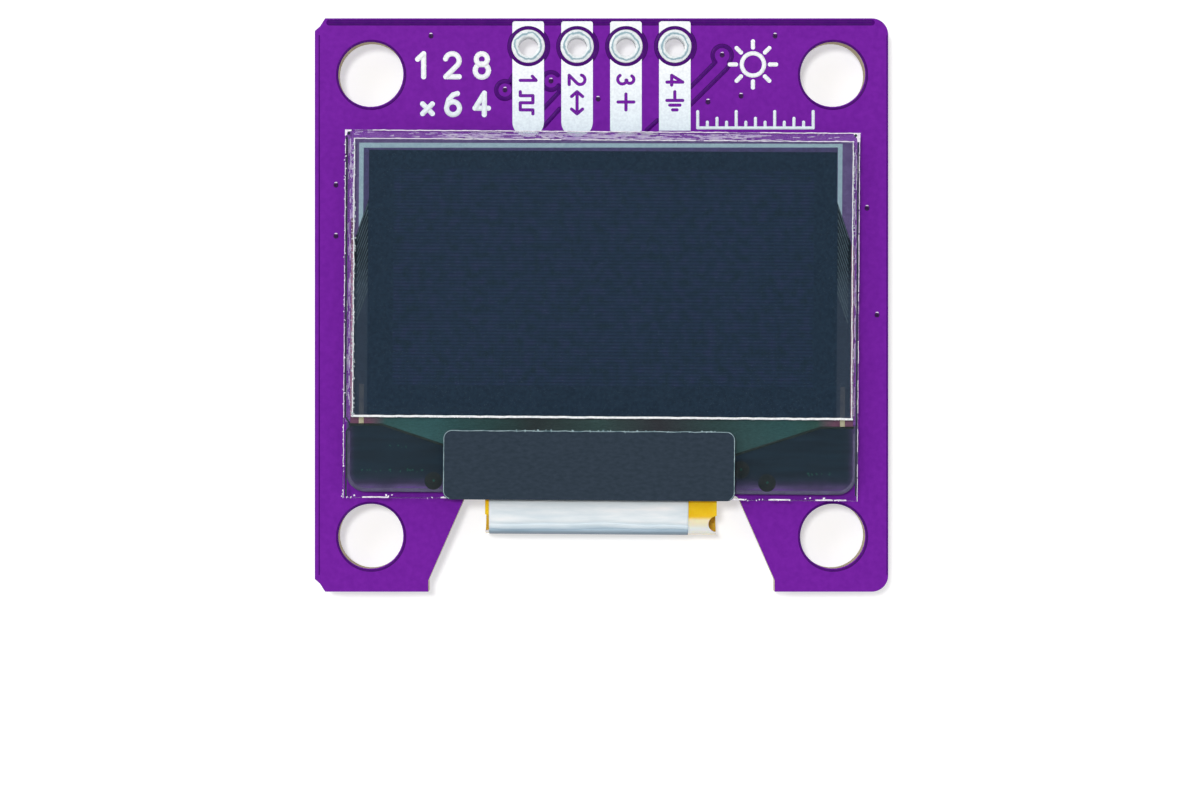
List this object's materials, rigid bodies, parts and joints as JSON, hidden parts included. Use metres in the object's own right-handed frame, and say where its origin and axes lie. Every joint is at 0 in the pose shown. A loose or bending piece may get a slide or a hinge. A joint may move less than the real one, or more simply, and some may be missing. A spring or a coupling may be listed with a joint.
{
  "type": "small oled module",
  "caption": "Small square display module: a bare glass display stuck to a purple circuit board, with a soldered folded tail and a row of header holes.",
  "frame": {"origin": "centre of the rectangle of four mounting holes, on the board's rear face", "axes": "+Z out of the display, towards the viewer; +Y towards the row of header holes; +X to the right as the display is read with the header row at the top"},
  "size_m": [0.0298, 0.0298, 0.0043],
  "materials": {
    "board_mask": "glossy solder mask over glass-fibre board",
    "white_ink": "screen-printed ink",
    "tinned_pads": "tin-lead solder finish over copper",
    "white_tape": "double-sided foam tape",
    "display_glass": "thin soda-lime sheet glass",
    "drying_sheet": "moisture-absorbing sheet",
    "seal_resin": "cured edge seal",
    "pixel_film": "light-emitting film under its electrodes",
    "glass_traces": "fine metal traces on glass",
    "polarizer_film": "circular polarizing film",
    "silicon": "bare silicon die",
    "dark_sealant": "cured sealant",
    "shield_tape": "black light-shield tape",
    "polyimide": "amber polyimide film",
    "silver_tape": "white-silver protective tape",
    "copper": "copper foil under clear film",
    "solder": "reflowed solder",
    "black_epoxy": "moulded epoxy",
    "lead_metal": "tin-plated leads",
    "tan_ceramic": "fired capacitor ceramic",
    "resistor_black": "glazed resistor body"
  },
  "bodies": {
    "root": {"circuit_board": "board_mask", "pin_label_bars": "white_ink", "plated_hole_1": "tinned_pads", "plated_hole_2": "tinned_pads", "plated_hole_3": "tinned_pads", "plated_hole_4": "tinned_pads", "mounting_tape": "white_tape", "rear_glass": "display_glass", "drying_sheet": "drying_sheet", "edge_seal": "seal_resin", "pixel_film": "pixel_film", "glass_traces": "glass_traces", "front_glass": "display_glass", "polarizer": "polarizer_film", "driver_chip": "silicon", "ledge_sealant": "dark_sealant", "light_shield": "shield_tape", "flex_tail": "polyimide", "fold_tape": "silver_tape", "tail_conductors": "copper", "tail_solder": "solder", "board_lands": "tinned_pads", "solder_fillets": "solder", "regulator_body": "black_epoxy", "regulator_leads": "lead_metal", "shifter_1_body": "black_epoxy", "shifter_1_leads": "lead_metal", "shifter_2_body": "black_epoxy", "shifter_2_leads": "lead_metal", "diode_body": "black_epoxy", "diode_leads": "lead_metal", "capacitor_1_body": "tan_ceramic", "capacitor_2_body": "tan_ceramic", "capacitor_3_body": "tan_ceramic", "capacitor_4_body": "tan_ceramic", "capacitor_5_body": "tan_ceramic", "capacitor_6_body": "tan_ceramic", "capacitor_7_body": "tan_ceramic", "capacitor_1_ends": "lead_metal", "capacitor_2_ends": "lead_metal", "capacitor_3_ends": "lead_metal", "capacitor_4_ends": "lead_metal", "capacitor_5_ends": "lead_metal", "capacitor_6_ends": "lead_metal", "capacitor_7_ends": "lead_metal", "resistor_1_body": "resistor_black", "resistor_2_body": "resistor_black", "resistor_3_body": "resistor_black", "resistor_4_body": "resistor_black", "resistor_5_body": "resistor_black", "resistor_6_body": "resistor_black", "resistor_1_ends": "lead_metal", "resistor_2_ends": "lead_metal", "resistor_3_ends": "lead_metal", "resistor_4_ends": "lead_metal", "resistor_5_ends": "lead_metal", "resistor_6_ends": "lead_metal"}
  },
  "joints": []
}
